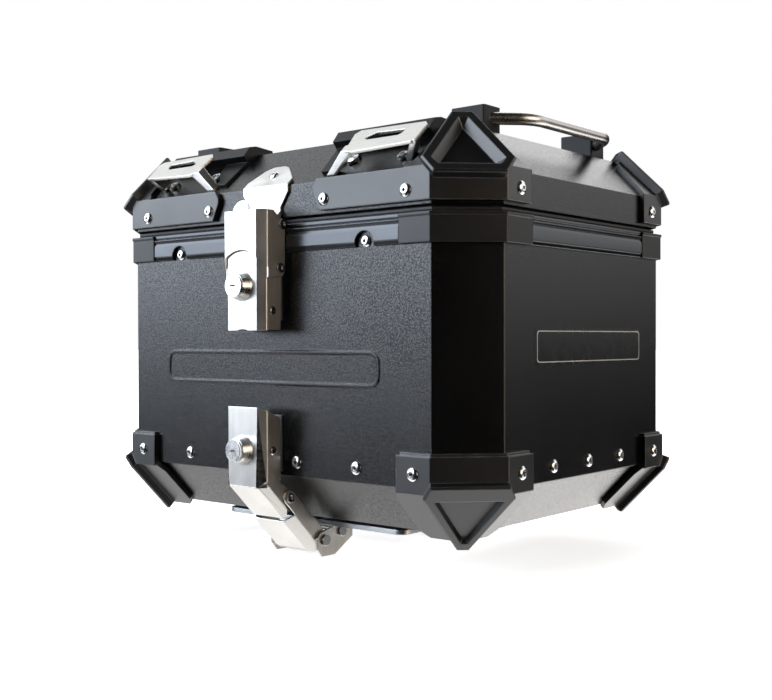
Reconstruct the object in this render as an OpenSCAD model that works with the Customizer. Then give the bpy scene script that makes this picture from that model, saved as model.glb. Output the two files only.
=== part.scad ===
// Hard top case for a motorcycle rack: riveted aluminium shell, hinged lid with a
// toggle latch, a second latch that holds the case to its adapter plate, moulded
// corner guards, lashing hooks and grab rods. Millimetres, +Z up, front towards -Y.

/* [Shell] */
// width across the end walls
body_w = 400; // [360:1:440]
// depth from the front wall to the rear wall
body_d = 306.7; // [280:0.1:340]
// leg of the cut-off vertical corners
corner_cut = 36.7; // [25:0.1:50]
// thickness of the aluminium sheet
sheet_t = 1.5; // [1:0.1:3]
// height of the seam between wall and pan above the lowest point
seam_z = 68.5; // [60:0.5:80]
// height of the pan's slope
pan_drop = 36.5; // [25:0.5:50]
// inward run of the pan's slope
pan_inset = 36.5; // [25:0.5:50]
// top edge of the wall above the seam
wall_h = 193; // [170:0.5:220]
// top of the rim above the seam
rim_top = 195.4; // [180:0.1:220]
// bottom of the rim above the seam
rim_bottom = 174; // [150:0.5:190]

/* [Lid] */
// bottom edge of the lid band above the seam
band_bottom = 201; // [196:0.5:210]
// top edge of the lid band above the seam
band_top = 226; // [215:0.5:240]
// flat top of the lid above the seam
lid_top = 261.3; // [245:0.1:280]
// inward run of the lid's slope
lid_inset = 37.3; // [25:0.1:50]

/* [Guards] */
// thickness of the moulded guards
guard_t = 4; // [2:0.5:6]
// height of the raised corner boss
boss_t = 8; // [5:0.5:12]
// depth of the triangular recess in a boss
recess_d = 4; // [1:0.5:6]
// depth of the recess in a lid boss
lid_recess_d = 6.5; // [1:0.5:7]

/* [Fasteners] */
// radius of a blind rivet head
rivet_r = 5; // [3:0.1:7]
// height of a blind rivet head
rivet_h = 2.2; // [1:0.1:4]
// radius of the hole left by the rivet mandrel
mandrel_r = 1.3; // [0.5:0.1:2]
// radius of the hinge and latch pins
pin_r = 2; // [1.5:0.1:4]
// running clearance of a pin in its bore
run_gap = 0.05; // [0.02:0.01:0.1]

/* [Latches] */
// half width of a latch across its side flanges
latch_hw = 21.5; // [18:0.5:26]
// half width of the flat front of a latch
latch_front_hw = 16; // [12:0.5:20]
// how far the levers stand off the wall
latch_out = 27; // [20:0.5:34]
// sheet thickness of the latch parts
latch_t = 1.8; // [1.2:0.1:3]
// outer radius of the lock barrel
barrel_r = 9; // [7:0.5:11]
// radius of the turning lock plug
plug_r = 7.2; // [5:0.1:8]

/* [Handles] */
// radius of the grab rod
rod_r = 4.8; // [3:0.1:7]
// height of the rod's axis above the lid top
rod_lift = 11; // [8:0.5:25]
// distance of the rod's straight run from the middle plane
rod_x = 183; // [165:0.5:195]

/* [Adapter] */
// half width of the adapter plate
adapter_hw = 100; // [70:1:130]
// thickness of the adapter plate
adapter_t = 4; // [3:0.5:8]
// spacing of the rack bolts across the plate
rack_x = 120; // [80:1:160]
// spacing of the rack bolts front to back
rack_y = 80; // [60:1:140]
// radius of a rack bolt hole
rack_hole_r = 3.3; // [2.5:0.1:5]

/* [Hidden] */
half_w = body_w / 2;
half_d = body_d / 2;
pan_z = seam_z - pan_drop;
lid_z = seam_z + lid_top;
band_z = seam_z + band_top;
pan_hw = half_w - pan_inset;
pan_hd = half_d - pan_inset;
top_hw = half_w - lid_inset;
top_hd = half_d - lid_inset;
eps = 0.02;
fine = 48;
// inward change of a corner cut when an octagon is inset by one
cut_k = 2 - sqrt(2);
// middle of the chamfer line of one corner, measured from the centre
cut_x = half_w - corner_cut / 2;
cut_y = half_d - corner_cut / 2;
diag_d = (half_w + half_d - corner_cut) / sqrt(2);
// tilt of the corner facets of lid and pan
lid_tilt = atan2(lid_top - band_top, diag_d - (top_hw + top_hd) / sqrt(2));
pan_tilt = atan2(pan_drop, diag_d - (pan_hw + pan_hd) / sqrt(2));
lid_slope = atan2(lid_top - band_top, lid_inset);
pan_slope = atan2(pan_drop, pan_inset);
// hinge axis and latch pins: distance outside the wall, height above the seam
hinge_out = 7.2;
hinge_up = 198;
pin_u = [7.5, 195];
pin_m = [10, 161.3];
pin_1 = [-0.35, -17.2];
pin_2 = [-37.35, -55];
pin_3 = [-57, -50];
lock_up_z = 147.5;
lock_low_z = 20.7;
hinge_x = 27;
clear = 0.4;
// how far the inner face of a sloping sheet lies inside its outer face at the flat
fold_in = sheet_t * 0.6;
// half the difference between what stands out in front and what stands out behind
shift_y = 12.9;

// ---- shared shapes -------------------------------------------------------------

// moves the shell back so that the origin is in the middle of the whole outline
module on_base() {
    translate([0, shift_y, 0])
        children();
}

module octagon(inset) {
    w = half_w - inset;
    d = half_d - inset;
    c = corner_cut - cut_k * inset;
    polygon([[w - c, -d], [w, -d + c], [w, d - c], [w - c, d],
        [-w + c, d], [-w, d - c], [-w, -d + c], [-w + c, -d]]);
}

module ring(outer, inner) {
    difference() {
        octagon(outer);
        octagon(inner);
    }
}

// solid between an octagon and the smaller rectangle above or below it
module taper(inset, z_oct, z_rect, hw, hd) {
    hull() {
        translate([0, 0, min(z_oct, z_oct - sign(z_rect - z_oct) * eps)])
            linear_extrude(eps) octagon(inset);
        translate([-hw, -hd, min(z_rect, z_rect - sign(z_rect - z_oct) * eps)])
            cube([2 * hw, 2 * hd, eps]);
    }
}

module case_solid() {
    translate([0, 0, seam_z - eps])
        linear_extrude(rim_top) octagon(0);
    taper(0, seam_z, pan_z, pan_hw, pan_hd);
}

module lid_solid() {
    translate([0, 0, seam_z + band_bottom - 30])
        linear_extrude(band_top - band_bottom + 30 + eps) octagon(0);
    taper(0, band_z, lid_z, top_hw, top_hd);
}

// local frame: X right, -Y out of the front wall, Z up, origin on the wall at the seam
module on_front() {
    translate([0, -half_d, seam_z])
        children();
}

module on_rear() {
    rotate([0, 0, 180])
        on_front() children();
}

module on_side(s) {
    translate([s * half_w, 0, seam_z])
        rotate([0, 0, s * 90])
            children();
}

// extrudes an outline given as [out of the wall, height] between two x values
module profile_x(x0, x1, pts) {
    translate([x0, 0, 0])
        rotate([90, 0, 90])
            linear_extrude(x1 - x0)
                polygon([for (p = pts) [-p[0], p[1]]]);
}

// a round bar across x
module bar_x(x0, x1, at, r) {
    translate([x0, -at[0], at[1]])
        rotate([0, 90, 0])
            cylinder(r = r, h = x1 - x0, $fn = fine);
}

// a round bar out of the wall
module bar_out(x, z, out0, out1, r) {
    translate([x, -out0, z])
        rotate([90, 0, 0])
            cylinder(r = r, h = out1 - out0, $fn = fine);
}

// domed blind rivet standing on the plane out = 0, at x and z
module rivet(x, z, out = 0, r = rivet_r, h = rivet_h) {
    translate([x, -out, z])
        rotate([90, 0, 0])
            rotate_extrude($fn = 36)
                polygon([[mandrel_r, 0], [r, 0], [r, h * 0.3], [r * 0.8, h * 0.75],
                    [r * 0.45, h], [mandrel_r, h]]);
}

module four_corners(i) {
    sx = (i == 0 || i == 2) ? 1 : -1;
    sy = (i < 2) ? 1 : -1;
    mirror([sx < 0 ? 1 : 0, 0, 0])
        mirror([0, sy < 0 ? 1 : 0, 0])
            children();
}

// local frame of the front right corner facet: X along it, Y up or down it, Z outwards
module on_lid_facet() {
    translate([cut_x, -cut_y, band_z])
        rotate([0, 0, 45])
            rotate([lid_tilt, 0, 0])
                children();
}

module on_pan_facet() {
    translate([cut_x, -cut_y, seam_z])
        rotate([0, 0, 45])
            mirror([0, 0, 1])
                rotate([pan_tilt, 0, 0])
                    children();
}

// local frame of the front lid slope: X right, Y up the slope, Z outwards
module on_lid_slope() {
    translate([0, -half_d, band_z])
        rotate([lid_slope, 0, 0])
            children();
}

module on_pan_slope() {
    translate([0, -half_d, seam_z])
        mirror([0, 0, 1])
            rotate([pan_slope, 0, 0])
                children();
}

// the same two on the right-hand end
module on_lid_end() {
    translate([half_w, 0, band_z])
        rotate([0, 0, 90])
            rotate([lid_slope, 0, 0])
                children();
}

module on_pan_end() {
    translate([half_w, 0, seam_z])
        mirror([0, 0, 1])
            rotate([0, 0, 90])
                rotate([pan_slope, 0, 0])
                    children();
}

// band of thickness t round the front right corner from x0 to y0
module corner_wrap(x0, y0, t) {
    k = t * (sqrt(2) - 1);
    polygon([[x0, -half_d], [half_w - corner_cut, -half_d], [half_w, -half_d + corner_cut],
        [half_w, -y0], [half_w + t, -y0], [half_w + t, -half_d + corner_cut - k],
        [half_w - corner_cut + k, -half_d - t], [x0, -half_d - t]]);
}

// ---- case ----------------------------------------------------------------------

bead_w = 246;
bead_x = -2.5;
bead_h = 27;
bead_z = 84;
bead_line = 2.6;
bead_r = 9;
bead_out = 1;

module bead_outline(grow) {
    offset(r = grow)
        square([bead_w - bead_h, bead_h - 2 * bead_r], center = true);
}

module case_wall() on_base() {
    color("#2b2d30") {
        translate([0, 0, seam_z])
            linear_extrude(wall_h) ring(0, sheet_t);
        on_front()
            translate([bead_x, eps, bead_z])
                rotate([90, 0, 0])
                    linear_extrude(bead_out + eps)
                        difference() {
                            bead_outline(bead_r);
                            bead_outline(bead_r - bead_line);
                        }
    }
}

module bottom_pan() on_base() {
    flange_h = 24;
    color("#2b2d30") {
        difference() {
            taper(sheet_t, seam_z, pan_z, pan_hw, pan_hd);
            translate([0, 0, sheet_t])
                taper(2 * sheet_t, seam_z, pan_z, pan_hw - fold_in, pan_hd - fold_in);
            translate([0, 0, seam_z - eps])
                linear_extrude(10) octagon(0);
        }
        translate([0, 0, seam_z - 2 * eps])
            linear_extrude(flange_h) ring(sheet_t, 2 * sheet_t);
    }
}

rail_proud = 3;
rim_w = 7;
rail_profile = [[0, rim_bottom], [2, rim_bottom], [2.5, 176.8], [rail_proud, 177.4],
    [rail_proud, 186.2], [2.1, 188.4], [rail_proud, 190.2], [rail_proud, 191.4],
    [1.4, 192.2], [2.4, 193.2], [2.4, rim_top], [-rim_w, rim_top], [-rim_w, 190],
    [-sheet_t, 190], [-sheet_t, wall_h], [0, wall_h]];
cap_x = 136.5;
cap_y = 85;
cap_gap = 0.4;
screw_x = 103.6;
screw_z = 178;
notch_r = 9;
notch_drop = 1.5;
screw_r = 4.6;
screw_h = 2.6;

module rim_rail_front() on_base() {
    color("#3a3c40")
        difference() {
            on_front() profile_x(-cap_x + cap_gap, cap_x - cap_gap, rail_profile);
            for (s = [-1, 1])
                on_front() bar_out(s * screw_x, screw_z - notch_drop, -eps, 6, notch_r);
        }
}

module rim_rail_rear() on_base() {
    color("#3a3c40")
        on_rear() profile_x(-cap_x + cap_gap, cap_x - cap_gap, rail_profile);
}

module rim_rail_right() on_base() {
    color("#3a3c40")
        on_side(1) profile_x(-cap_y + cap_gap, cap_y - cap_gap, rail_profile);
}

module rim_rail_left() on_base() {
    color("#3a3c40")
        on_side(-1) profile_x(-cap_y + cap_gap, cap_y - cap_gap, rail_profile);
}

module rim_corner() {
    cap_t = 3.6;
    lip_t = 4.3;
    color("#1c1d1f")
        translate([0, 0, seam_z]) {
            translate([0, 0, rim_bottom])
                linear_extrude(wall_h - rim_bottom) corner_wrap(cap_x, cap_y, cap_t);
            translate([0, 0, wall_h])
                linear_extrude(rim_top - wall_h)
                    union() {
                        corner_wrap(cap_x, cap_y, lip_t);
                        intersection() {
                            ring(0, rim_w);
                            translate([cap_x, -half_d])
                                square([half_w, half_d - cap_y]);
                        }
                    }
        }
}

module rim_corner_fr() on_base() { four_corners(0) rim_corner(); }
module rim_corner_fl() on_base() { four_corners(1) rim_corner(); }
module rim_corner_rr() on_base() { four_corners(2) rim_corner(); }
module rim_corner_rl() on_base() { four_corners(3) rim_corner(); }

gasket_top = 196.8;

module rim_gasket() on_base() {
    color("#101010")
        translate([0, 0, seam_z + rim_top])
            linear_extrude(gasket_top - rim_top) ring(2, 6);
}

module rim_screws() on_base() {
    color("#b9bcc0")
        for (s = [-1, 1])
            on_front() rivet(s * screw_x, screw_z, 0, screw_r, screw_h);
}

// ---- lower guards --------------------------------------------------------------

pan_boss = [[-28.7, -9.5], [28.7, -9.5], [33, 2], [4.5, 52], [-4.5, 52], [-33, 2]];
pan_recess = [[-25, 3.4], [25, 3.4], [2.6, 44.5], [-2.6, 44.5]];
tab_x = 135;
tab_y = 87;
tab_top = 26;
strap_x = 129.5;
strap_y = 81.5;

// frustum-shaped triangular recess of depth d sunk from the boss face, with sloping walls
module recess(pts, d, wall) {
    hull() {
        translate([0, 0, boss_t])
            linear_extrude(eps) polygon(pts);
        translate([0, 0, boss_t - d])
            linear_extrude(eps) offset(delta = -wall) polygon(pts);
    }
}

boss_edge = 1.6;
boss_edge_in = 1.2;
boss_root = 4;

// raised corner boss with a chamfered rim, rooted below the surface it stands on
module boss_body(pts, side) {
    hull() {
        translate([0, 0, boss_t - boss_edge])
            linear_extrude(eps) polygon(pts);
        translate([0, 0, boss_t - eps])
            linear_extrude(eps) offset(delta = -boss_edge_in) polygon(pts);
        translate([0, 0, -boss_root])
            linear_extrude(eps) offset(delta = side) polygon(pts);
    }
}

skirt = 53.5;

module lower_guard() {
    step = 2;
    color("#232426")
        difference() {
            union() {
                on_pan_facet() boss_body(pan_boss, -3);
                translate([0, 0, seam_z - 3])
                    linear_extrude(tab_top + 3 - step) corner_wrap(tab_x, tab_y, guard_t + 1);
                translate([0, 0, seam_z + tab_top - step])
                    linear_extrude(step) corner_wrap(tab_x + step, tab_y + step, guard_t - 1);
                on_pan_slope() linear_extrude(guard_t)
                    polygon([[tab_x, -1.6], [strap_x, 7], [strap_x, 46],
                        [strap_x + 6, skirt], [pan_hw, skirt], [pan_hw, 0], [half_w - corner_cut, -1.6]]);
                on_pan_end() linear_extrude(guard_t)
                    polygon([[-tab_y, -1.6], [-strap_y, 7], [-strap_y, 46],
                        [-strap_y - 6, skirt], [-pan_hd, skirt], [-pan_hd, 0],
                        [-half_d + corner_cut, -1.6]]);
            }
            case_solid();
            on_pan_facet() recess(pan_recess, recess_d, 2.2);
        }
}

module lower_guard_fr() on_base() { four_corners(0) lower_guard(); }
module lower_guard_fl() on_base() { four_corners(1) lower_guard(); }
module lower_guard_rr() on_base() { four_corners(2) lower_guard(); }
module lower_guard_rl() on_base() { four_corners(3) lower_guard(); }

rivet_z = 11;
front_rivets = [-93, -32, 32, 93];
end_rivets = [-51, 1, 52];
guard_rivet_x = 150;
guard_rivet_y = 102;

module wall_rivets() on_base() {
    color("#c9cbce") {
        for (x = front_rivets) {
            on_front() rivet(x, rivet_z);
            on_rear() rivet(x, rivet_z);
        }
        for (y = end_rivets) {
            on_side(1) rivet(y, rivet_z);
            on_side(-1) rivet(y, rivet_z);
        }
    }
}

module lower_guard_rivets() on_base() {
    out = guard_t + 1;
    color("#c9cbce")
        for (s = [-1, 1]) {
            on_front() rivet(s * guard_rivet_x, rivet_z, out);
            on_rear() rivet(s * guard_rivet_x, rivet_z, out);
            on_side(1) rivet(s * guard_rivet_y, rivet_z, out);
            on_side(-1) rivet(s * guard_rivet_y, rivet_z, out);
        }
}

label_y = 5;
label_w = 164;
label_z = 100.5;
label_h = 28;

module side_label() on_base() {
    color("#151515")
        on_side(1)
            translate([label_y, 0, label_z])
                rotate([90, 0, 0])
                    linear_extrude(0.3)
                        offset(r = 3)
                            square([label_w - 6, label_h - 6], center = true);
}

// ---- latch keepers and hinge ---------------------------------------------------

keeper_t = 2;
keeper_hw = 17;
lug_hw = 9;
lug_out = 5;

// plate on the front wall from z0 to z1 with a bored lug in its middle
module keeper(z0, z1) {
    mid = (z0 + z1) / 2;
    on_front()
        difference() {
            union() {
                profile_x(-keeper_hw, keeper_hw, [[0, z0], [keeper_t, z0], [keeper_t, z1], [0, z1]]);
                profile_x(-lug_hw, lug_hw, [[keeper_t - eps, mid - 5], [lug_out, mid - 4],
                    [lug_out, mid + 4], [keeper_t - eps, mid + 5]]);
            }
            bar_out(0, mid, 2.5, 6, 2.5);
        }
}

module keeper_upper() on_base() { color("#8d9094") keeper(121, 169); }
module keeper_lower() on_base() { color("#8d9094") keeper(3, 47); }

module keeper_rivets() on_base() {
    color("#c9cbce")
        on_front()
            for (z = [129, 161, 9.5, 40.5])
                for (s = [-1, 1])
                    rivet(s * 11, z, keeper_t, 3.2, 1.4);
}

hinge_hw = 20;
leaf_t = 1.6;
knuckle_r = 4;
mid_hw = 8;

module hinge_leaves_case() on_base() {
    leaf_out = rail_proud;
    color("#54575b")
        for (s = [-1, 1])
            on_rear()
                translate([s * hinge_x, 0, 0])
                    difference() {
                        union() {
                            profile_x(-hinge_hw, hinge_hw, [[leaf_out, 176], [leaf_out + leaf_t, 176],
                                [leaf_out + leaf_t, 191], [leaf_out, 191]]);
                            profile_x(-mid_hw, mid_hw, [[leaf_out, 190], [leaf_out + leaf_t, 190],
                                [hinge_out + knuckle_r * 0.9, 196], [hinge_out, hinge_up],
                                [leaf_out + 0.4, 196.5], [leaf_out, 194]]);
                            bar_x(-mid_hw, mid_hw, [hinge_out, hinge_up], knuckle_r);
                        }
                        bar_x(-mid_hw - 1, mid_hw + 1, [hinge_out, hinge_up], pin_r);
                    }
}

module hinge_pins() on_base() {
    color("#b9bcc0")
        for (s = [-1, 1])
            on_rear()
                translate([s * hinge_x, 0, 0])
                    bar_x(-hinge_hw, hinge_hw, [hinge_out, hinge_up], pin_r);
}

module hinge_leaves_lid() on_base() {
    color("#54575b")
        for (s = [-1, 1])
            on_rear()
                translate([s * hinge_x, 0, 0])
                    difference() {
                        union() {
                            profile_x(-hinge_hw, hinge_hw,
                                [[0, 207], [leaf_t, 207], [leaf_t, 224], [0, 224]]);
                            for (m = [0, 1])
                                mirror([m, 0, 0]) {
                                    bar_x(mid_hw + clear, hinge_hw, [hinge_out, hinge_up], knuckle_r);
                                    profile_x(mid_hw + clear, hinge_hw, [[0, 208], [0, 204.5],
                                        [hinge_out - 3, hinge_up + 1.5],
                                        [hinge_out + 2, hinge_up + 3], [leaf_t, 208]]);
                                }
                        }
                        bar_x(-hinge_hw - 1, hinge_hw + 1, [hinge_out, hinge_up], pin_r + run_gap);
                    }
}

// ---- adapter under the case ----------------------------------------------------

pad_h = 4.5;
plate_top = pan_z - pad_h;
plate_z = plate_top - adapter_t;
adapter_hd = 106;
ear_in = latch_hw + 2.6;
ear_t = 2.5;
pad_r = 11;
pad_x = 82;
pad_y = 84;

module adapter_plate() on_base() {
    color("#a9acb0")
        difference() {
            translate([0, 0, plate_z])
                linear_extrude(adapter_t)
                    offset(r = 10)
                        square([2 * adapter_hw - 20, 2 * adapter_hd - 20], center = true);
            for (sx = [-1, 1])
                for (sy = [-1, 1])
                    translate([sx * rack_x / 2, sy * rack_y / 2, plate_z - 1])
                        cylinder(r = rack_hole_r, h = adapter_t + 2, $fn = 36);
            for (sy = [-1, 1])
                translate([0, sy * 22, plate_z - 1])
                    linear_extrude(adapter_t + 2)
                        offset(r = 8) square([70, 6], center = true);
        }
}

module adapter_pads() on_base() {
    color("#161616")
        for (sx = [-1, 1])
            for (sy = [-1, 1])
                translate([sx * pad_x, sy * pad_y, plate_top])
                    difference() {
                        cylinder(r = pad_r, h = pad_h, $fn = 40);
                        translate([0, 0, -1]) cylinder(r = 3, h = pad_h + 2, $fn = 24);
                    }
}

module adapter_ear() on_base() {
    web = [[pin_3[0] - 14, plate_z - seam_z], [pin_3[0] - 14, plate_z - seam_z - ear_t],
        [pin_3[0] + 8, plate_z - seam_z - ear_t], [pin_3[0] + 8, plate_z - seam_z]];
    cheek = [[pin_3[0] - 14, plate_z - seam_z], [pin_3[0] - 14, -56], [pin_2[0] - 12, -seam_z],
        [pin_2[0] + 3, -seam_z], [pin_2[0] + 8, -62], [pin_2[0] + 9, -53], [pin_2[0] + 5, -48.5],
        [pin_3[0] + 8, plate_z - seam_z]];
    color("#8b8d90")
        on_front()
            difference() {
                union() {
                    profile_x(-ear_in - ear_t, ear_in + ear_t, web);
                    for (m = [0, 1])
                        mirror([m, 0, 0])
                            profile_x(ear_in, ear_in + ear_t, cheek);
                }
                bar_x(-60, 60, pin_2, pin_r + 0.4);
                bar_x(-60, 60, pin_3, pin_r);
            }
}

module adapter_pins() on_base() {
    color("#6f7276")
        on_front() {
            head = 2.2;
            end = ear_in + ear_t;
            bar_x(-end, end, pin_2, pin_r + 0.4);
            bar_x(-end, end, pin_3, pin_r);
            for (m = [0, 1])
                mirror([m, 0, 0]) {
                    bar_x(end, end + head, pin_2, 4.6);
                    bar_x(end, end + head, pin_3, 4.2);
                }
        }
}

module adapter_rear_bracket() on_base() {
    top = plate_z - seam_z;
    low = top - 3;
    color("#a9acb0")
        on_rear()
            profile_x(-60, 60, [[-48, top], [-48, low], [-60, low], [-60, -seam_z],
                [-90, -seam_z], [-90, 3 - seam_z], [-63, 3 - seam_z], [-63, low],
                [-75, low], [-75, top]]);
}

module adapter_bolts() on_base() {
    color("#b9bcc0")
        for (sx = [-1, 1])
            for (y = [-96, 84])
                translate([sx * (y < 0 ? 10 : 40), y < 0 ? y + 3 : y, plate_top])
                    difference() {
                        cylinder(r = 4, h = 2.4, $fn = 36);
                        translate([0, 0, 1]) cylinder(r = 2, h = 2, $fn = 6);
                    }
}

// ---- lid -----------------------------------------------------------------------

module lid_shell() on_base() {
    color("#2b2d30")
        difference() {
            union() {
                translate([0, 0, seam_z + band_bottom])
                    linear_extrude(band_top - band_bottom) octagon(0);
                taper(0, band_z, lid_z, top_hw, top_hd);
            }
            translate([0, 0, seam_z + band_bottom - 1])
                linear_extrude(band_top - band_bottom + 1 + eps) octagon(sheet_t);
            taper(sheet_t, band_z, lid_z - sheet_t, top_hw - fold_in, top_hd - fold_in);
        }
}

// moulded frame inside the band: closes on the gasket, set back from the band
module lid_frame() on_base() {
    color("#151617")
        translate([0, 0, seam_z]) {
            translate([0, 0, gasket_top])
                linear_extrude(2.6) ring(1.5 + clear, 12);
            translate([0, 0, gasket_top + 2.6])
                linear_extrude(4) ring(8, 12);
            translate([0, 0, gasket_top + 6.6])
                linear_extrude(2.4) ring(sheet_t, 12);
            translate([0, 0, gasket_top + 9])
                linear_extrude(8) ring(sheet_t, 3);
        }
}

lid_boss = [[-26.5, -10.7], [26.5, -10.7], [34, 3.3], [8, 50.3], [-8, 50.3], [-34, 3.3]];
lid_recess = [[-22, -3.5], [22, -3.5], [26.5, 2.5], [3.5, 43.5], [-3.5, 43.5], [-26.5, 2.5]];
arm_x = 53;
arm_y = 87;
arm_z = 203.5;

module lid_guard() {
    fold = guard_t * tan(lid_slope / 2);
    color("#232426")
        difference() {
            union() {
                on_lid_facet() boss_body(lid_boss, -3);
                translate([0, 0, seam_z + arm_z])
                    linear_extrude(band_top - arm_z + fold) corner_wrap(150, arm_y, guard_t);
                on_front()
                    rotate([90, 0, 0])
                        linear_extrude(guard_t)
                            polygon([[arm_x + 7, arm_z], [151, arm_z], [151, band_top + fold],
                                [arm_x + 4, band_top + fold], [arm_x, band_top - 5], [arm_x, arm_z + 14]]);
                on_lid_slope() linear_extrude(guard_t)
                    polygon([[141, -fold], [147, 6], [151, 34], [top_hw, 51.4], [top_hw, 0],
                        [half_w - corner_cut, -fold]]);
                on_lid_end() linear_extrude(guard_t)
                    polygon([[-arm_y, -fold], [-arm_y - 4, 8], [-arm_y - 9, 38], [-top_hd, 51.4],
                        [-top_hd, 0], [-half_d + corner_cut, -fold]]);
            }
            lid_solid();
            on_lid_facet() recess(lid_recess, lid_recess_d, 5.6);
        }
}

module lid_guard_fr() on_base() { four_corners(0) lid_guard(); }
module lid_guard_fl() on_base() { four_corners(1) lid_guard(); }
module lid_guard_rr() on_base() { four_corners(2) lid_guard(); }
module lid_guard_rl() on_base() { four_corners(3) lid_guard(); }

module lid_rivets() on_base() {
    color("#c9cbce") {
        for (x = [-143.5, -64.5, 64.5, 143.5]) {
            on_front() rivet(x, 211.5, guard_t);
            on_rear() rivet(x, 211.5, guard_t);
        }
        for (y = [-101, 101]) {
            on_side(1) rivet(y, 213.5, guard_t);
            on_side(-1) rivet(y, 213.5, guard_t);
        }
        on_lid_slope()
            translate([0, 13, strike_t])
                rotate([-90, 0, 0])
                    rivet(0, 0, 0, 4.2, 1.8);
    }
}

strike_t = 2.2;

module strike_plate() on_base() {
    drop = [[0, band_top], [0, 205.5], [2, 200], [pin_u[0] - 2.5, pin_u[1] + 3],
        [pin_u[0] + 3, pin_u[1] + 2], [strike_t, 206.5], [strike_t, band_top + 0.9]];
    color("#c4c2bd")
        difference() {
            union() {
                on_lid_slope() linear_extrude(strike_t)
                    polygon([[-25, -0.9], [25, -0.9], [25, 6], [16, 16], [9, 23],
                        [4, 25], [-8, 25], [-15, 21], [-25, 6]]);
                on_front()
                    intersection() {
                        profile_x(-25, 25, drop);
                        translate([0, 30, 0])
                            rotate([90, 0, 0])
                                linear_extrude(60)
                                    polygon([[-25, 228], [25, 228], [25, 221], [17, 209],
                                        [17, 185], [-17, 185], [-17, 209], [-25, 221]]);
                    }
                on_front() bar_x(-17, 17, pin_u, knuckle_r - 0.1);
            }
            on_front() bar_x(-60, 60, pin_u, pin_r + run_gap);
        }
}

// ---- lashing hooks -------------------------------------------------------------

hook_lift = 13;
hook_t = 2.5;

module hook_plate() {
    color("#c4c2bd")
        on_lid_slope() {
            difference() {
                translate([0, 0, hook_lift])
                    linear_extrude(hook_t)
                        polygon([[84, 12], [91, 10], [146, 13], [149, 17], [150, 33], [146, 37],
                            [84, 38.5], [80, 34]]);
                translate([0, 0, hook_lift - 1])
                    linear_extrude(hook_t + 2)
                        polygon([[96, 25.5], [98, 24], [128, 24], [131, 26.5], [131, 30.5],
                            [104, 32], [96, 27]]);
            }
            hull() {
                translate([80, 12, hook_lift]) cube([11, 8, hook_t]);
                translate([64, 3, 0]) cube([7, 7, hook_t]);
            }
            hull() {
                translate([145, 14, hook_lift]) cube([4, 11, hook_t]);
                translate([135, 13, 0]) cube([4, 9, hook_t]);
            }
        }
}

// the moulded block the hook plate is screwed to, on the edge of the lid's flat top
module hook_base() {
    block_out = -lid_inset;
    color("#17181a")
        difference() {
            union() {
                on_front()
                    profile_x(50, 145, [[block_out - 20, lid_top], [block_out, lid_top],
                        [block_out + 9, lid_top - 8.6], [block_out + 15, lid_top - 2],
                        [block_out + 8.5, lid_top + 6.2], [block_out + 1, lid_top + 7.6],
                        [block_out - 18, lid_top + 6]]);
                on_lid_slope() linear_extrude(hook_t)
                    polygon([[50, 52], [54, 9], [62, 9], [76, 30], [76, 52]]);
            }
            lid_solid();
            for (x = [62, 138])
                translate([x, -top_hd + 9, lid_z + 4])
                    cylinder(r = 3.2, h = 10, $fn = 36);
            on_lid_slope()
                translate([70, 8, hook_lift - 0.2])
                    cube([90, 34, 12]);
        }
}

module pair_x() {
    for (m = [0, 1])
        mirror([m, 0, 0])
            children();
}

module hook_plates_front() on_base() { pair_x() hook_plate(); }
module hook_plates_rear() on_base() { mirror([0, 1, 0]) pair_x() hook_plate(); }
module hook_bases_front() on_base() { pair_x() hook_base(); }
module hook_bases_rear() on_base() { mirror([0, 1, 0]) pair_x() hook_base(); }

// ---- grab rods -----------------------------------------------------------------

rod_z = lid_z + rod_lift;
rod_y0 = -38;
rod_y1 = 48;
bend_r = 30;
bend_a = 45;
leg_l = 26;
foot_x = 146;
foot_y = 37;

// the sloping end of the rod, measured from the end of its straight run
module rod_leg(extra) {
    translate([-bend_r * (1 - cos(bend_a)), bend_r * sin(bend_a), 0])
        rotate([0, 0, bend_a])
            rotate([-90, 0, 0])
                cylinder(r = rod_r, h = leg_l + extra, $fn = fine);
}

module rod_bend() {
    translate([-bend_r, 0, 0])
        rotate_extrude(angle = bend_a, $fn = 64)
            translate([bend_r, 0]) circle(r = rod_r, $fn = fine);
}

module rod_ends() {
    translate([rod_x, rod_y1, rod_z])
        children();
    translate([rod_x, rod_y0, rod_z])
        mirror([0, 1, 0])
            children();
}

module grab_rod_right() on_base() {
    color("#b6b3ad") {
        translate([rod_x, rod_y0, rod_z])
            rotate([-90, 0, 0])
                cylinder(r = rod_r, h = rod_y1 - rod_y0, $fn = fine);
        rod_ends() {
            union() {
                rod_bend();
                rod_leg(0);
            }
        }
    }
}

module grab_rod_left() { mirror([1, 0, 0]) grab_rod_right(); }

module foot_block() {
    foot_h = 20;
    difference() {
        linear_extrude(foot_h)
            offset(r = 2)
                square([27, 18], center = true);
        translate([-8, 0, 5]) cylinder(r = 4.6, h = foot_h, $fn = 36);
        translate([-8, 0, -1]) cylinder(r = 2.1, h = foot_h, $fn = 24);
    }
}

module grab_feet_right() on_base() {
    color("#161719")
        difference() {
            rod_ends()
                translate([foot_x - rod_x, foot_y, -rod_lift])
                    foot_block();
            rod_ends() rod_leg(0);
        }
}

module grab_feet_left() { mirror([1, 0, 0]) grab_feet_right(); }

// ---- latches -------------------------------------------------------------------

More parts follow.
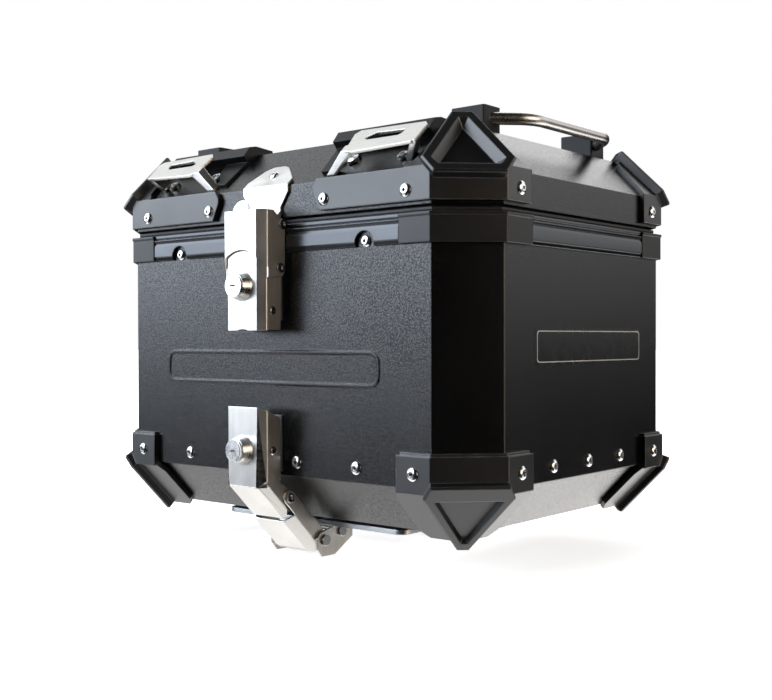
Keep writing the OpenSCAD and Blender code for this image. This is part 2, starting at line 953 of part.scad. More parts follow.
// folded sheet channel open towards the wall: front, chamfers and side flanges
module channel(hw, front_hw, out, inner, t, z0, z1) {
    fold = hw - front_hw;
    k = t * 0.414;
    translate([0, 0, z0])
        linear_extrude(z1 - z0)
            polygon([[-hw, -inner], [-hw, -out + fold], [-front_hw, -out], [front_hw, -out],
                [hw, -out + fold], [hw, -inner], [hw - t, -inner], [hw - t, -out + fold + k],
                [front_hw - k, -out + t], [-front_hw + k, -out + t],
                [-hw + t, -out + fold + k], [-hw + t, -inner]]);
}

link_hw = latch_hw + clear + latch_t;
link_front_hw = 17.5;
link_out = latch_out + 2;

module upper_link() on_base() {
    side = [[3.7, 176], [3.7, 193.5], [5.2, 198.5], [13, 203], [16, 205.8], [60, 205.8],
        [60, 140], [20.5, 154], [14, 153.8], [6, 155], [3.7, 160]];
    color("#c4c2bd")
        on_front()
            difference() {
                union() {
                    intersection() {
                        channel(link_hw, link_front_hw, link_out, 0, latch_t, 150, 206);
                        profile_x(-60, 60, side);
                    }
                    translate([0, -link_out + latch_t + 0.6, 205.5])
                        rotate([-14, 0, 0])
                            translate([0, 0, -1.2])
                                rotate([90, 0, 0])
                                    linear_extrude(latch_t)
                                        union() {
                                            translate([-8.8, 0]) square([17.6, 2]);
                                            intersection() {
                                                translate([0, 0.5]) circle(r = 8.8, $fn = 64);
                                                translate([-10, 0]) square([20, 20]);
                                            }
                                        }
                }
                intersection() {
                    bar_out(0, lock_up_z, 10, 60, 27.5);
                    profile_x(-60, 60, [[link_out - 7, 100], [60, 100], [60, 190], [link_out - 7, 190]]);
                }
                bar_x(-60, 60, pin_u, pin_r);
                bar_x(-60, 60, pin_m, pin_r);
            }
}

module pin_with_heads(hw, at) {
    head = 2;
    bar_x(-hw, hw, at, pin_r);
    for (m = [0, 1])
        mirror([m, 0, 0])
            translate([hw, -at[0], at[1]])
                rotate([0, 90, 0])
                    difference() {
                        cylinder(r = 3.9, h = head, $fn = fine);
                        translate([0, 0, head - 0.8]) cylinder(r = 1.8, h = 2, $fn = 36);
                    }
}

module upper_link_pins() on_base() {
    color("#9a9ca0")
        on_front() {
            pin_with_heads(link_hw, pin_u);
            pin_with_heads(link_hw, pin_m);
        }
}

module lock_bore(z, r) {
    bar_out(0, z, -20, 60, r);
}

module upper_lever() on_base() {
    side = [[6.5, 113.5], [60, 112], [60, 176], [14, 174], [8, 169], [4.5, 163], [4.5, 159],
        [6.5, 152]];
    color("#c4c2bd")
        on_front()
            difference() {
                intersection() {
                    channel(latch_hw, latch_front_hw, latch_out, 0, latch_t, 100, 180);
                    profile_x(-60, 60, side);
                    rotate([90, 0, 0])
                        linear_extrude(60)
                            difference() {
                                union() {
                                    translate([-30, 100]) square([60, 60]);
                                    translate([0, 143]) circle(r = 31.5, $fn = 96);
                                }
                                translate([0, 95]) circle(r = 19, $fn = 64);
                            }
                }
                lock_bore(lock_up_z, barrel_r);
                bar_x(-60, 60, pin_m, pin_r + run_gap);
            }
}

lock_out = 10;

module lock_body(z) {
    collar_r = barrel_r + 2.8;
    cone_h = lock_out - 2;
    back = 10;
    on_front()
        difference() {
            union() {
                bar_out(0, z, back, latch_out + lock_out - 0.4, barrel_r);
                translate([0, -latch_out, z])
                    rotate([90, 0, 0])
                        cylinder(r1 = collar_r, r2 = barrel_r + 0.5, h = cone_h, $fn = fine);
                bar_out(0, z, latch_out - latch_t - 2.4, latch_out - latch_t, collar_r);
            }
            bar_out(0, z, 0, 60, plug_r + run_gap);
        }
}

module lock_plug(z) {
    face = latch_out + lock_out;
    on_front()
        difference() {
            union() {
                bar_out(0, z, 8.6, face, plug_r);
                translate([-2.5, -8.6 - eps, z - plug_r])
                    cube([5, 1.6, plug_r + 11]);
            }
            translate([-3.2, -face - 1, z - 0.7])
                cube([6.4, 4, 1.4]);
        }
}

module upper_lock_body() on_base() { color("#d0d0ce") lock_body(lock_up_z); }
module upper_lock_plug() on_base() { color("#e0e0de") lock_plug(lock_up_z); }
module lower_lock_body() on_base() { color("#d0d0ce") lock_body(lock_low_z); }
module lower_lock_plug() on_base() { color("#e0e0de") lock_plug(lock_low_z); }

// local frame of the lower latch's sloping end: origin on its upper pin, the same
// axes as the wall's frame turned to follow the pan's slope
module on_lower_slope() {
    translate([0, -pin_1[0], pin_1[1]])
        rotate([45, 0, 0])
            children();
}

slope_out = 12.3;

module lower_lever() on_base() {
    side = [[7, 45], [21.5, 52.3], [60, 66], [60, -30], [17, -7.5], [7, -2.5]];
    low_side = [[-5, -4.6], [-5, 4], [-1.5, 26], [60, 26], [60, -11.5], [9, -11.5],
        [5.4, -2.5], [3, -5]];
    color("#c4c2bd")
        on_front()
            difference() {
                union() {
                    intersection() {
                        channel(latch_hw, latch_front_hw, latch_out, 0, latch_t, -7.4, 70);
                        profile_x(-60, 60, side);
                        rotate([90, 0, 0])
                            linear_extrude(60)
                                union() {
                                    translate([-30, -40]) square([60, 92]);
                                    translate([-13, 50]) circle(r = 7.5, $fn = 64);
                                    translate([13, 50]) circle(r = 6.5, $fn = 64);
                                    translate([-16, 51]) square([30, 3.4]);
                                }
                    }
                    on_lower_slope()
                        intersection() {
                            channel(latch_hw, latch_front_hw, slope_out, -10, latch_t, -12, 26.4);
                            profile_x(-60, 60, low_side);
                        }
                }
                lock_bore(lock_low_z, barrel_r);
                bar_x(-60, 60, pin_1, pin_r + run_gap);
            }
}

module lower_link() on_base() {
    link_face = slope_out + 1.4;
    near = 14.2;
    far = norm([pin_2[0] - pin_1[0], pin_2[1] - pin_1[1]]);
    side = [[0, 6.3], [4, 5], [5.3, 1], [5.3, -near], [60, -near], [60, -47.5],
        [14, -47.5], [11.5, -56], [7, -60.5], [0, -far - 8.5], [-5, -far - 5.5], [-6, -far],
        [-6, -far + 6], [-7, -36], [-6, -16], [-6.3, 0], [-4.5, 4.5]];
    color("#c4c2bd")
        on_front()
            difference() {
                on_lower_slope()
                    intersection() {
                        channel(link_hw, latch_front_hw, link_face, -10, latch_t, -far - 6, 8);
                        profile_x(-60, 60, side);
                    }
                bar_x(-60, 60, pin_1, pin_r);
                bar_x(-60, 60, pin_2, pin_r + 0.4 + run_gap);
            }
}

module lower_link_pin() on_base() {
    color("#9a9ca0")
        on_front()
            pin_with_heads(link_hw, pin_1);
}

case_wall();
bottom_pan();
rim_rail_front();
rim_rail_rear();
rim_rail_left();
rim_rail_right();
rim_corner_fr();
rim_corner_fl();
rim_corner_rr();
rim_corner_rl();
rim_gasket();
rim_screws();
lower_guard_fr();
lower_guard_fl();
lower_guard_rr();
lower_guard_rl();
wall_rivets();
lower_guard_rivets();
side_label();
keeper_upper();
keeper_lower();
keeper_rivets();
hinge_leaves_case();
hinge_pins();
adapter_plate();
adapter_pads();
adapter_ear();
adapter_pins();
adapter_rear_bracket();
adapter_bolts();
lid_shell();
lid_frame();
lid_guard_fr();
lid_guard_fl();
lid_guard_rr();
lid_guard_rl();
lid_rivets();
hinge_leaves_lid();
strike_plate();
hook_plates_front();
hook_plates_rear();
hook_bases_front();
hook_bases_rear();
grab_rod_right();
grab_rod_left();
grab_feet_right();
grab_feet_left();
upper_link();
upper_link_pins();
upper_lever();
upper_lock_body();
upper_lock_plug();
lower_link();
lower_link_pin();
lower_lever();
lower_lock_body();
lower_lock_plug();
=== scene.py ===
"""Looks for the motorcycle top case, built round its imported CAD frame. Metres."""

import math

import bmesh
import bpy
from mathutils import Matrix, Vector


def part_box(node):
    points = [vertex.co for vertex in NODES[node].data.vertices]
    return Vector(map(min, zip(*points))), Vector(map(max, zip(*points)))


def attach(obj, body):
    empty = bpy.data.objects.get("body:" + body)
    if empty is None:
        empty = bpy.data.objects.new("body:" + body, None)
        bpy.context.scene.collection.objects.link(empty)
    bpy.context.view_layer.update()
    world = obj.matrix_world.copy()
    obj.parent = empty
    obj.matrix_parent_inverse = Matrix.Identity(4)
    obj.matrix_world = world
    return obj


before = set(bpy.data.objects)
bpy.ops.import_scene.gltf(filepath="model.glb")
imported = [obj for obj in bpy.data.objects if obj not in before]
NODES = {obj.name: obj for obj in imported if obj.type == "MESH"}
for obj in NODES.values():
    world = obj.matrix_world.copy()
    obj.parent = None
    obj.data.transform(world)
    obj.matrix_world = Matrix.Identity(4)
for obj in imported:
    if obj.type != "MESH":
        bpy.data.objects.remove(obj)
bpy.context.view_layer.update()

# ---- node helpers --------------------------------------------------------------


class Shader:
    """A material whose nodes are added by short calls."""

    def __init__(self, name, **sockets):
        self.material = bpy.data.materials.new(name)
        self.material.use_nodes = True
        self.tree = self.material.node_tree
        self.tree.nodes.clear()
        self.out = self.tree.nodes.new("ShaderNodeOutputMaterial")
        self.bsdf = self.tree.nodes.new("ShaderNodeBsdfPrincipled")
        self.tree.links.new(self.bsdf.outputs[0], self.out.inputs[0])
        for socket, value in sockets.items():
            self.bsdf.inputs[socket.replace("_", " ")].default_value = value
        self.place = self.add("ShaderNodeTexCoord").outputs["Object"]

    def add(self, kind, inputs=None, **settings):
        made = self.tree.nodes.new(kind)
        for key, value in settings.items():
            setattr(made, key, value)
        for key, value in (inputs or {}).items():
            self.put(made.inputs[key], value)
        return made

    def put(self, socket, value):
        if isinstance(value, bpy.types.NodeSocket):
            self.tree.links.new(value, socket)
        else:
            socket.default_value = value

    def stretched(self, scale, offset=(0, 0, 0)):
        """The object's own coordinates, stretched by scale along X, Y and Z."""
        made = self.add("ShaderNodeMapping", {"Vector": self.place, "Scale": scale,
                                              "Location": offset})
        return made.outputs[0]

    def noise(self, scale, detail=2.0, rough=0.5, where=None):
        made = self.add("ShaderNodeTexNoise", {"Vector": where or self.place, "Scale": scale,
                                               "Detail": detail, "Roughness": rough})
        return made.outputs[0]

    def cells(self, scale):
        made = self.add("ShaderNodeTexVoronoi", {"Vector": self.place, "Scale": scale})
        return made.outputs["Distance"]

    def ramp(self, value, low, high, to_low=0.0, to_high=1.0):
        made = self.add("ShaderNodeMapRange", {0: value, 1: low, 2: high, 3: to_low, 4: to_high})
        return made.outputs[0]

    def math(self, operation, a, b=0.0):
        return self.add("ShaderNodeMath", {0: a, 1: b}, operation=operation).outputs[0]

    def mix(self, share, a, b):
        made = self.add("ShaderNodeMix", data_type="RGBA")
        self.put(made.inputs[0], share)
        self.put(made.inputs[6], a)
        self.put(made.inputs[7], b)
        return made.outputs[2]

    def bump(self, height, strength, distance, under=None):
        """Normals shifted by a height pattern, on top of the normals given as under."""
        made = self.add("ShaderNodeBump", {"Height": height, "Strength": strength,
                                           "Distance": distance})
        if under is not None:
            self.put(made.inputs["Normal"], under)
        return made.outputs[0]

    def edges(self, radius, low, high):
        """Close to 1 along sharp outer and inner edges, broken up by noise, and 0 elsewhere."""
        soft = self.add("ShaderNodeBevel", {"Radius": radius}, samples=6).outputs[0]
        flat = self.add("ShaderNodeNewGeometry").outputs["Normal"]
        alike = self.add("ShaderNodeVectorMath", {0: soft, 1: flat}, operation="DOT_PRODUCT")
        bent = self.math("SUBTRACT", 1.0, alike.outputs["Value"])
        mask = self.ramp(bent, low, high)
        return self.math("MULTIPLY", mask, self.ramp(self.noise(130, 4), 0.38, 0.62, 0.35, 1.0))

    def rounded(self, radius):
        """Normals that turn smoothly round edges, as paint and pressed sheet do."""
        return self.add("ShaderNodeBevel", {"Radius": radius}, samples=4).outputs[0]

    def set(self, **sockets):
        """Fills sockets of the surface node, named with underscores, and returns the material."""
        for socket, value in sockets.items():
            self.put(self.bsdf.inputs[socket.replace("_", " ")], value)
        return self.material


def grey(value, tint=0.0):
    """A neutral colour, made a little cooler by a positive tint and warmer by a negative one."""
    return (value * (1 - tint), value, value * (1 + tint), 1.0)


def shade(colour, factor):
    """A colour made darker or lighter, never past full white."""
    return tuple(min(1.0, c * factor) for c in colour[:3]) + (1.0,)


# ---- materials -----------------------------------------------------------------


def powder_coat(name, dark=0.0012, light=0.003, rough=(0.17, 0.24)):
    """Black powder coat: sandy grains about a millimetre apart, faint clouding and dust."""
    s = Shader(name, IOR=1.5)
    s.set(Specular_IOR_Level=s.ramp(s.noise(820, 1, 0.5), 0.36, 0.64, 0.3, 0.72))
    peel = s.noise(1150, 2, 0.6)
    grain = s.math("ADD", s.math("MULTIPLY", s.cells(1700), 0.6), peel)
    clouds = s.noise(9, 4, 0.6)
    dust = s.math("MULTIPLY", s.ramp(s.noise(900, 2), 0.66, 0.74), 0.16)
    share = s.math("ADD", s.ramp(clouds, 0.3, 0.7, 0.0, 0.8), dust)
    sheen = s.math("ADD", clouds, s.math("MULTIPLY", peel, 0.4))
    return s.set(Base_Color=s.mix(share, grey(dark, 0.08), grey(light, 0.1)),
                 Roughness=s.ramp(sheen, 0.4, 1.0, *rough),
                 Normal=s.bump(grain, 0.6, 0.00014, s.rounded(0.0012)))


def moulded(name, dark, light, grain_size, rough, edge_wear_and_highlight, depth=0.00006, mirror=0.5):
    """Black moulded plastic with a fine spark grain, lighter along its edges: part wear, part
    painted highlight.
    """
    s = Shader(name, IOR=1.5, Specular_IOR_Level=mirror)
    grain = s.noise(1.0 / grain_size, 3, 0.65)
    sweep = s.noise(14, 3, 0.55)
    colour = s.mix(s.ramp(sweep, 0.3, 0.7), grey(dark, 0.06), grey(light, 0.08))
    if edge_wear_and_highlight > 0:
        # painted highlight: the edges are lightened in colour, part wear and part a stand-in for
        # the light their rounded edges catch
        edge_wear_and_highlight_share = s.math("MULTIPLY", s.edges(0.0011, 0.03, 0.28), edge_wear_and_highlight)
        colour = s.mix(edge_wear_and_highlight_share, colour, grey(0.2, 0.05))
    return s.set(Base_Color=colour,
                 Roughness=s.ramp(s.math("ADD", grain, sweep), 0.7, 1.3, *rough),
                 Normal=s.bump(grain, 0.45, depth, s.rounded(0.0014)))


def brushed(name, colour, rough, along, fine=2600.0, tone=0.12, depth=0.000012, fold=0.001,
            spread=0.0):
    """Metal brushed along one axis: long fine streaks, broad smudges and a few scratches."""
    s = Shader(name, Metallic=1.0)
    if spread:
        level = s.add("ShaderNodeTangent", direction_type="RADIAL", axis="Z").outputs[0]
        s.set(Anisotropic=spread, Tangent=level)
    scale = [fine] * 3
    scale[along] = fine / 90
    streaks = s.noise(1.0, 3, 0.7, s.stretched(scale))
    smudge = s.noise(38, 4, 0.6)
    coarse = s.stretched([v * 0.22 for v in scale], (3.1, 1.7, 0.4))
    scratch = s.ramp(s.noise(1.0, 2, 0.5, coarse), 0.7, 0.76)
    dark, light = shade(colour, 1 - tone), shade(colour, 1 + tone * 0.6)
    blend = s.math("ADD", s.math("MULTIPLY", streaks, 0.6), s.math("MULTIPLY", smudge, 0.4))
    tinted = s.mix(s.ramp(blend, 0.35, 0.65), dark, light)
    sheen = s.math("ADD", streaks, s.math("MULTIPLY", smudge, 0.8))
    relief = s.math("ADD", streaks, s.math("MULTIPLY", scratch, -0.5))
    return s.set(Base_Color=s.mix(s.math("MULTIPLY", scratch, 0.35), tinted, light),
                 Roughness=s.ramp(sheen, 0.6, 1.2, *rough),
                 Normal=s.bump(relief, 0.5, depth, s.rounded(fold)))


def turned(name, colour, rough, centre):
    """Metal turned on a lathe about a line along Y through centre (x, z): rings on its face."""
    s = Shader(name, Metallic=1.0)
    flat = s.stretched((1, 0, 1), (-centre[0], 0, -centre[1]))
    radius = s.add("ShaderNodeVectorMath", {0: flat}, operation="LENGTH").outputs["Value"]
    lines = s.add("ShaderNodeTexNoise", {"W": s.math("MULTIPLY", radius, 2400.0), "Scale": 1.0,
                                         "Detail": 2.0}, noise_dimensions="1D").outputs[0]
    uneven = s.math("ADD", lines, s.noise(160, 3))
    dark, light = shade(colour, 0.86), shade(colour, 1.08)
    return s.set(Base_Color=s.mix(s.ramp(uneven, 0.7, 1.3), dark, light),
                 Roughness=s.ramp(uneven, 0.7, 1.3, *rough),
                 Normal=s.bump(lines, 0.35, 0.00001))


def bright_metal(name, colour, rough, dirt=0.25):
    """Smooth bare metal with hairline marks and a little dirt in scattered spots."""
    s = Shader(name, Metallic=1.0)
    marks = s.noise(1500, 3, 0.7)
    spots = s.ramp(s.noise(420, 4, 0.65), 0.5, 0.72)
    return s.set(Base_Color=s.mix(s.math("MULTIPLY", spots, dirt), colour, shade(colour, 0.45)),
                 Roughness=s.ramp(s.math("ADD", marks, spots), 0.3, 1.4, *rough),
                 Normal=s.bump(marks, 0.3, 0.00002))


def rubber(name):
    """Matt black rubber with a fine grain."""
    s = Shader(name, IOR=1.5)
    grain = s.noise(1300, 4, 0.7)
    return s.set(Base_Color=s.mix(s.noise(60, 3), grey(0.006), grey(0.014)),
                 Roughness=s.ramp(grain, 0.3, 0.7, 0.62, 0.85),
                 Normal=s.bump(grain, 0.6, 0.00008))


def film(name, colour):
    """Printed film: slightly uneven gloss with a faint ripple from the coat under it."""
    s = Shader(name, IOR=1.48)
    return s.set(Base_Color=s.mix(s.ramp(s.noise(24, 3), 0.35, 0.65), shade(colour, 0.8), colour),
                 Roughness=s.ramp(s.noise(120, 3), 0.3, 0.7, 0.2, 0.3),
                 Normal=s.bump(s.noise(300, 3, 0.5), 0.25, 0.00005))


STEEL = (0.7, 0.68, 0.645, 1.0)
SILVER = (0.78, 0.79, 0.8, 1.0)
CHROME = (0.74, 0.73, 0.71, 1.0)
ANODISED = (0.07, 0.073, 0.077, 1.0)
COAT = powder_coat("powder_coat")
# the sixth value sets how strongly the edges are lightened: part wear, part painted highlight
GUARD = moulded("guard_plastic", 0.0015, 0.003, 0.0009, (0.3, 0.4), 1.0, mirror=0.85)
CAP = moulded("cap_plastic", 0.0018, 0.0035, 0.0008, (0.32, 0.44), 0.5, depth=0.00016)
BLOCK = moulded("block_plastic", 0.0015, 0.003, 0.0008, (0.34, 0.46), 0.8, mirror=0.2)
INNER = moulded("inner_plastic", 0.004, 0.007, 0.001, (0.4, 0.55), 0.0)
RAIL = brushed("anodised_rail", ANODISED, (0.16, 0.28), 0, fine=1500.0)
RAIL_END = brushed("anodised_rail_end", ANODISED, (0.16, 0.28), 1, fine=1500.0)
LATCH = brushed("latch_steel", STEEL, (0.3, 0.44), 2, fine=2200.0, tone=0.16, depth=0.00002,
                fold=0.0008, spread=0.3)
HOOK = brushed("hook_steel", STEEL, (0.22, 0.36), 0)
ROD = brushed("rod_steel", (0.5, 0.48, 0.455, 1.0), (0.22, 0.34), 1)
PLATE = brushed("adapter_aluminium", (0.62, 0.63, 0.65, 1.0), (0.3, 0.45), 0, fine=1800.0)
KEEPER = bright_metal("keeper_zinc", (0.36, 0.37, 0.38, 1.0), (0.28, 0.42))
HINGE = powder_coat("hinge_coat", 0.006, 0.01, (0.4, 0.55))
PIN = bright_metal("pin_steel", (0.5, 0.5, 0.5, 1.0), (0.16, 0.3))
RIVET = bright_metal("rivet_aluminium", SILVER, (0.14, 0.3), dirt=0.4)
SEAL = rubber("seal_rubber")
LABEL = film("label_film", grey(0.006, 0.05))
LABEL_LINE = film("label_line", grey(0.6))


def lock_centre(node):
    """Where a lock's axis stands, as (x, z)."""
    low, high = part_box(node)
    return ((low.x + high.x) / 2, (low.z + high.z) / 2)


LOCK_UP = turned("upper_lock_chrome", CHROME, (0.16, 0.3), lock_centre("upper_lock_body"))
LOCK_LOW = turned("lower_lock_chrome", CHROME, (0.22, 0.36), lock_centre("lower_lock_body"))

FINISH = {
    "case_wall": COAT, "bottom_pan": COAT, "lid_shell": COAT,
    "rim_rail_front": RAIL, "rim_rail_rear": RAIL,
    "rim_rail_left": RAIL_END, "rim_rail_right": RAIL_END,
    "rim_gasket": SEAL, "adapter_pads": SEAL, "side_label": LABEL,
    "keeper_upper": KEEPER, "keeper_lower": KEEPER,
    "hinge_leaves_case": HINGE, "hinge_leaves_lid": HINGE,
    "hinge_pins": PIN, "adapter_pins": PIN, "upper_link_pins": PIN, "lower_link_pin": PIN,
    "adapter_plate": PLATE, "adapter_rear_bracket": PLATE, "adapter_ear": LATCH,
    "adapter_bolts": RIVET, "rim_screws": RIVET, "wall_rivets": RIVET,
    "lower_guard_rivets": RIVET, "keeper_rivets": RIVET, "lid_rivets": RIVET,
    "lid_frame": INNER, "strike_plate": LATCH, "upper_link": LATCH, "upper_lever": LATCH,
    "lower_link": LATCH, "lower_lever": LATCH,
    "upper_lock_body": LOCK_UP, "upper_lock_plug": LOCK_UP,
    "lower_lock_body": LOCK_LOW, "lower_lock_plug": LOCK_LOW,
    "hook_plates_front": HOOK, "hook_plates_rear": HOOK,
    "grab_rod_right": ROD, "grab_rod_left": ROD,
}
for stem, finish in (("rim_corner", CAP), ("lower_guard", GUARD), ("lid_guard", GUARD)):
    for corner in ("fr", "fl", "rr", "rl"):
        FINISH[f"{stem}_{corner}"] = finish
for stem in ("hook_bases_front", "hook_bases_rear", "grab_feet_right", "grab_feet_left"):
    FINISH[stem] = BLOCK

# ---- edges of the CAD's nodes --------------------------------------------------

# width of the rounded edges of each kind of part, in metres
EDGE = {COAT: 0.0012, GUARD: 0.0009, CAP: 0.0006, BLOCK: 0.0008, INNER: 0.0004, RAIL: 0.0003,
        RAIL_END: 0.0003, LATCH: 0.0004, HOOK: 0.0005, ROD: 0.0003, PLATE: 0.0005, KEEPER: 0.0004,
        HINGE: 0.0003, PIN: 0.0003, RIVET: 0.0002, SEAL: 0.0003, LABEL: 0.0,
        LOCK_UP: 0.0003, LOCK_LOW: 0.0003}
CREASE = math.radians(28)


def soften(obj, width, clamp):
    """Joins the split corners, rounds the sharp edges and shades the rest smooth."""
    weld = obj.modifiers.new("weld", "WELD")
    weld.merge_threshold = 2e-6
    flat = obj.modifiers.new("flat", "DECIMATE")
    flat.decimate_type = "DISSOLVE"
    flat.angle_limit = math.radians(0.4)
    if width > 0:
        bevel = obj.modifiers.new("bevel", "BEVEL")
        bevel.width = width
        bevel.segments = 2
        bevel.limit_method = "ANGLE"
        bevel.angle_limit = CREASE
        bevel.use_clamp_overlap = clamp
    for polygon in obj.data.polygons:
        polygon.use_smooth = True
    even = obj.modifiers.new("even", "WEIGHTED_NORMAL")
    even.keep_sharp = True
    even.weight = 100


for name, obj in NODES.items():
    material = FINISH[name]
    if not obj.material_slots:
        obj.data.materials.append(material)
    for held in obj.material_slots:
        held.link = "OBJECT"
        held.material = material
    soften(obj, EDGE[material], clamp=material is not LATCH)

# ---- added pieces --------------------------------------------------------------


def rounded_rectangle(half_width, half_height, radius, steps=10):
    """Points of a rounded rectangle in a plane, anticlockwise."""
    points = []
    for quarter, (sx, sy) in enumerate(((1, 1), (-1, 1), (-1, -1), (1, -1))):
        for step in range(steps + 1):
            angle = math.radians(90 * quarter + 90 * step / steps)
            points.append((sx * (half_width - radius) + radius * math.cos(angle),
                           sy * (half_height - radius) + radius * math.sin(angle)))
    return points


def new_piece(name, build, material, body):
    """Turns a bmesh into a named piece on a CAD body."""
    bmesh.ops.recalc_face_normals(build, faces=build.faces)
    mesh = bpy.data.meshes.new(name)
    build.to_mesh(mesh)
    build.free()
    mesh.materials.append(material)
    made = bpy.data.objects.new(name, mesh)
    bpy.context.scene.collection.objects.link(made)
    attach(made, body)


def strip(build, first, second):
    """Faces between two closed rows of points of equal length."""
    for i in range(len(first)):
        j = (i + 1) % len(first)
        build.faces.new((first[i], first[j], second[j], second[i]))


def label_outline():
    """The thin pale frame printed round the label on the right end."""
    low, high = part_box("side_label")
    middle = (low + high) / 2
    margin, line, lift, radius = 0.0022, 0.0007, 0.00006, 0.003
    build = bmesh.new()
    rings = []
    for inset in (margin, margin + line):
        outline = rounded_rectangle((high.y - low.y) / 2 - inset, (high.z - low.z) / 2 - inset,
                                    radius)
        for out in (high.x - lift, high.x + lift):
            rings.append([build.verts.new((out, middle.y + y, middle.z + z)) for y, z in outline])
    outer_in, outer_out, inner_in, inner_out = rings
    for first, second in ((outer_in, outer_out), (outer_out, inner_out), (inner_out, inner_in),
                          (inner_in, outer_in)):
        strip(build, first, second)
    new_piece("label_outline", build, LABEL_LINE, "case")


def domed_head(build, centre, out, along, radius, height, bore):
    """A round head on a surface: out points away from it, along lies in it."""
    across = out.cross(along)
    outline = ((radius, 0.0), (radius, height * 0.35), (radius * 0.84, height * 0.8),
               (bore * 1.5, height), (bore, height), (bore, height * 0.4))
    sides = 28
    spokes = [along * math.cos(math.tau * i / sides) + across * math.sin(math.tau * i / sides)
              for i in range(sides)]
    rings = [[build.verts.new(centre + out * up + spoke * far) for spoke in spokes]
             for far, up in outline]
    for first, second in zip(rings, rings[1:]):
        strip(build, first, second)
    build.faces.new(rings[-1])
    build.faces.new(tuple(reversed(rings[0])))


# the screws under each half of a hook pair: distance from the middle, distance up the slope, radius
# and height of the head
HOOK_SCREWS = ((0.0775, 0.0225, 0.0062, 0.0034), (0.128, 0.0185, 0.0052, 0.003))
# how far a head stands clear of the sheet or sinks into it, so that no two faces coincide
NUDGE = 0.0002


def hook_screws():
    """Domed screws that hold the hook plates to the lid's two long slopes."""
    # foot of a slope: out from the case's middle, up, where that middle lies, tilt
    edge_y, edge_z, middle_y, slope = 0.15335, 0.2945, 0.0129, math.radians(43.42)
    for name, side in (("hook_screws_front", -1), ("hook_screws_rear", 1)):
        out = Vector((0, side * math.sin(slope), math.cos(slope)))
        up = Vector((0, -side * math.cos(slope), math.sin(slope)))
        foot = Vector((0, side * edge_y + middle_y, edge_z))
        build = bmesh.new()
        for end in (-1, 1):
            for x, climb, radius, height in HOOK_SCREWS:
                centre = foot + Vector((end * x, 0, 0)) + up * climb + out * NUDGE
                domed_head(build, centre, out, Vector((1, 0, 0)), radius, height, 0.0018)
        new_piece(name, build, RIVET, "lid")


# name, lever and lock that the screw stands by, body, height above the lock
SIDE_SCREWS = (
    ("upper_side_screw", "upper_lever", "upper_lock_body", "upper_lever_body", -0.019),
    ("lower_side_screw", "lower_lever", "lower_lock_body", "lower_lever_body", 0.0),
)


def latch_screws():
    """Small sunk screws in the right flange of each lever, behind the level of the lock."""
    radius, height, bore, behind = 0.0034, 0.0011, 0.0014, 0.008
    for name, lever, lock, body, rise in SIDE_SCREWS:
        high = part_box(lever)[1]
        middle = sum(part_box(lock), Vector()) / 2
        centre = Vector((high.x - NUDGE, middle.y + behind, middle.z + rise))
        build = bmesh.new()
        domed_head(build, centre, Vector((1, 0, 0)), Vector((0, 1, 0)), radius, height, bore)
        new_piece(name, build, PIN, body)


label_outline()
hook_screws()
latch_screws()

# ---- studio --------------------------------------------------------------------


def floor():
    """A pale sheet that runs a long way out, so that its edge never shows."""
    half = 14.0
    mesh = bpy.data.meshes.new("floor")
    build = bmesh.new()
    build.faces.new([build.verts.new((x * half, y * half, 0.0))
                     for x, y in ((-1, -1), (1, -1), (1, 1), (-1, 1))])
    build.to_mesh(mesh)
    build.free()
    made = bpy.data.objects.new("floor", mesh)
    s = Shader("floor_paper", Roughness=0.9, Emission_Color=(1, 1, 1, 1), Emission_Strength=0.72)
    mesh.materials.append(s.set(Base_Color=s.mix(s.noise(3.0, 2), grey(0.86), grey(0.89))))
    bpy.context.scene.collection.objects.link(made)
    made.visible_glossy = False
    made.visible_diffuse = False


# the room that the case reflects, as soft patches of light: direction, half angle of its core and
# of its outer edge in degrees, strength, colour, and the height of the table edge that cuts it off,
# as the sine of an angle above the horizon
ROOM = (
    ((-0.58, -0.68, 0.46), 26, 38, 5.4, (0.86, 0.94, 1.06), 0.008),
    ((-0.64, 0.14, 0.76), 12, 30, 1.1, (0.95, 0.98, 1.0), -1.0),
    ((-0.16, 0.72, 0.68), 8, 28, 2.6, (1.0, 1.0, 1.0), -1.0),
    ((0.08, 0.68, -0.72), 18, 36, 3.0, (1.0, 0.975, 0.95), -1.0),
    ((0.62, 0.74, 0.40), 10, 30, 1.4, (1.0, 1.0, 1.0), 0.0),
    ((-0.66, 0.00, -0.75), 16, 36, 1.5, (1.0, 1.0, 1.0), -1.0),
    ((0.05, 0.05, -1.00), 14, 34, 1.8, (1.0, 1.0, 1.0), -1.0),
    ((0.98, 0.05, 0.16), 10, 26, 4.2, (1.0, 0.84, 0.68), -1.0),
    ((0.61, 0.61, -0.50), 10, 24, 1.0, (1.0, 1.0, 1.0), -1.0),
    ((-0.61, -0.61, -0.50), 10, 24, 0.9, (0.95, 0.98, 1.0), -1.0),
)
# how far below and above its height the table edge fades
FADE = (-0.06, 0.045)
# brightness of the rest of the room
DIM = 0.012


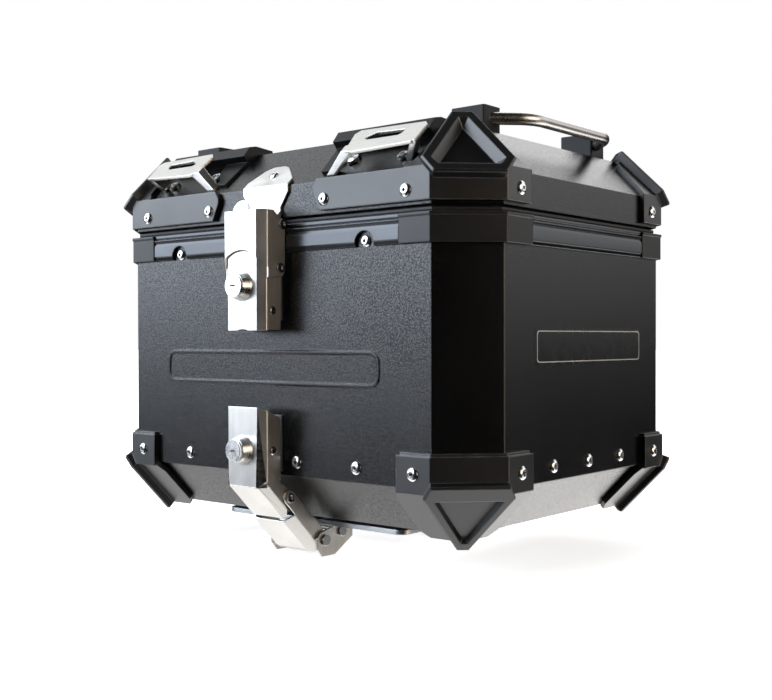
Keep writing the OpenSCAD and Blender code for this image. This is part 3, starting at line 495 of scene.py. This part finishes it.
def studio():
    """A white backdrop for the camera, and the lit room for everything else."""
    world = bpy.data.worlds.new("studio")
    bpy.context.scene.world = world
    world.use_nodes = True
    tree = world.node_tree
    tree.nodes.clear()

    def add(kind, inputs, **settings):
        made = tree.nodes.new(kind)
        for key, value in settings.items():
            setattr(made, key, value)
        for key, value in inputs.items():
            if isinstance(value, bpy.types.NodeSocket):
                tree.links.new(value, made.inputs[key])
            else:
                made.inputs[key].default_value = value
        return made

    def fade(value, low, high, top):
        return add("ShaderNodeMapRange", {0: value, 1: low, 2: high, 3: 0.0, 4: top},
                   interpolation_type="SMOOTHSTEP").outputs[0]

    ray = add("ShaderNodeTexCoord", {}).outputs["Generated"]
    total = add("ShaderNodeCombineXYZ", {0: DIM, 1: DIM, 2: DIM}).outputs[0]
    height = add("ShaderNodeSeparateXYZ", {0: ray}).outputs[2]
    for where, core, edge, strength, colour, foot in ROOM:
        axis = Vector(where).normalized()
        near = add("ShaderNodeVectorMath", {0: ray, 1: tuple(axis)}, operation="DOT_PRODUCT")
        patch = fade(near.outputs["Value"], math.cos(math.radians(edge)),
                     math.cos(math.radians(core)), strength)
        above = fade(height, foot + FADE[0], foot + FADE[1], 1.0)
        patch = add("ShaderNodeMath", {0: patch, 1: above}, operation="MULTIPLY").outputs[0]
        tinted = add("ShaderNodeVectorMath", {0: colour, 3: patch}, operation="SCALE").outputs[0]
        total = add("ShaderNodeVectorMath", {0: total, 1: tinted}, operation="ADD").outputs[0]
    room = add("ShaderNodeBackground", {0: total, 1: 1.0})
    seen = add("ShaderNodeBackground", {0: (1, 1, 1, 1), 1: 1.0})
    path = add("ShaderNodeLightPath", {})
    choose = add("ShaderNodeMixShader", {0: path.outputs["Is Camera Ray"], 1: room.outputs[0],
                                         2: seen.outputs[0]})
    add("ShaderNodeOutputWorld", {0: choose.outputs[0]})
    bpy.context.scene.view_settings.view_transform = "Standard"


def camera():
    """Level with the middle of the case, off its front right corner."""
    turn, tip, roll = math.radians(39.811), math.radians(-0.595), math.radians(-0.131)
    ahead = Vector((-math.sin(turn) * math.cos(tip), math.cos(turn) * math.cos(tip),
                    math.sin(tip)))
    across = Vector((math.cos(turn), math.sin(turn), 0))
    upward = across.cross(ahead)
    right = across * math.cos(roll) + upward * math.sin(roll)
    up = upward * math.cos(roll) - across * math.sin(roll)
    lens = bpy.data.cameras.new("camera")
    lens.sensor_width = 36.0
    lens.lens = 52.24
    lens.clip_start, lens.clip_end = 0.01, 60.0
    made = bpy.data.objects.new("camera", lens)
    turned_to = Matrix((right, up, -ahead)).transposed().to_4x4()
    made.matrix_world = Matrix.Translation((0.63949, -0.76124, 0.17534)) @ turned_to
    bpy.context.scene.collection.objects.link(made)
    bpy.context.scene.camera = made


floor()
studio()
camera()
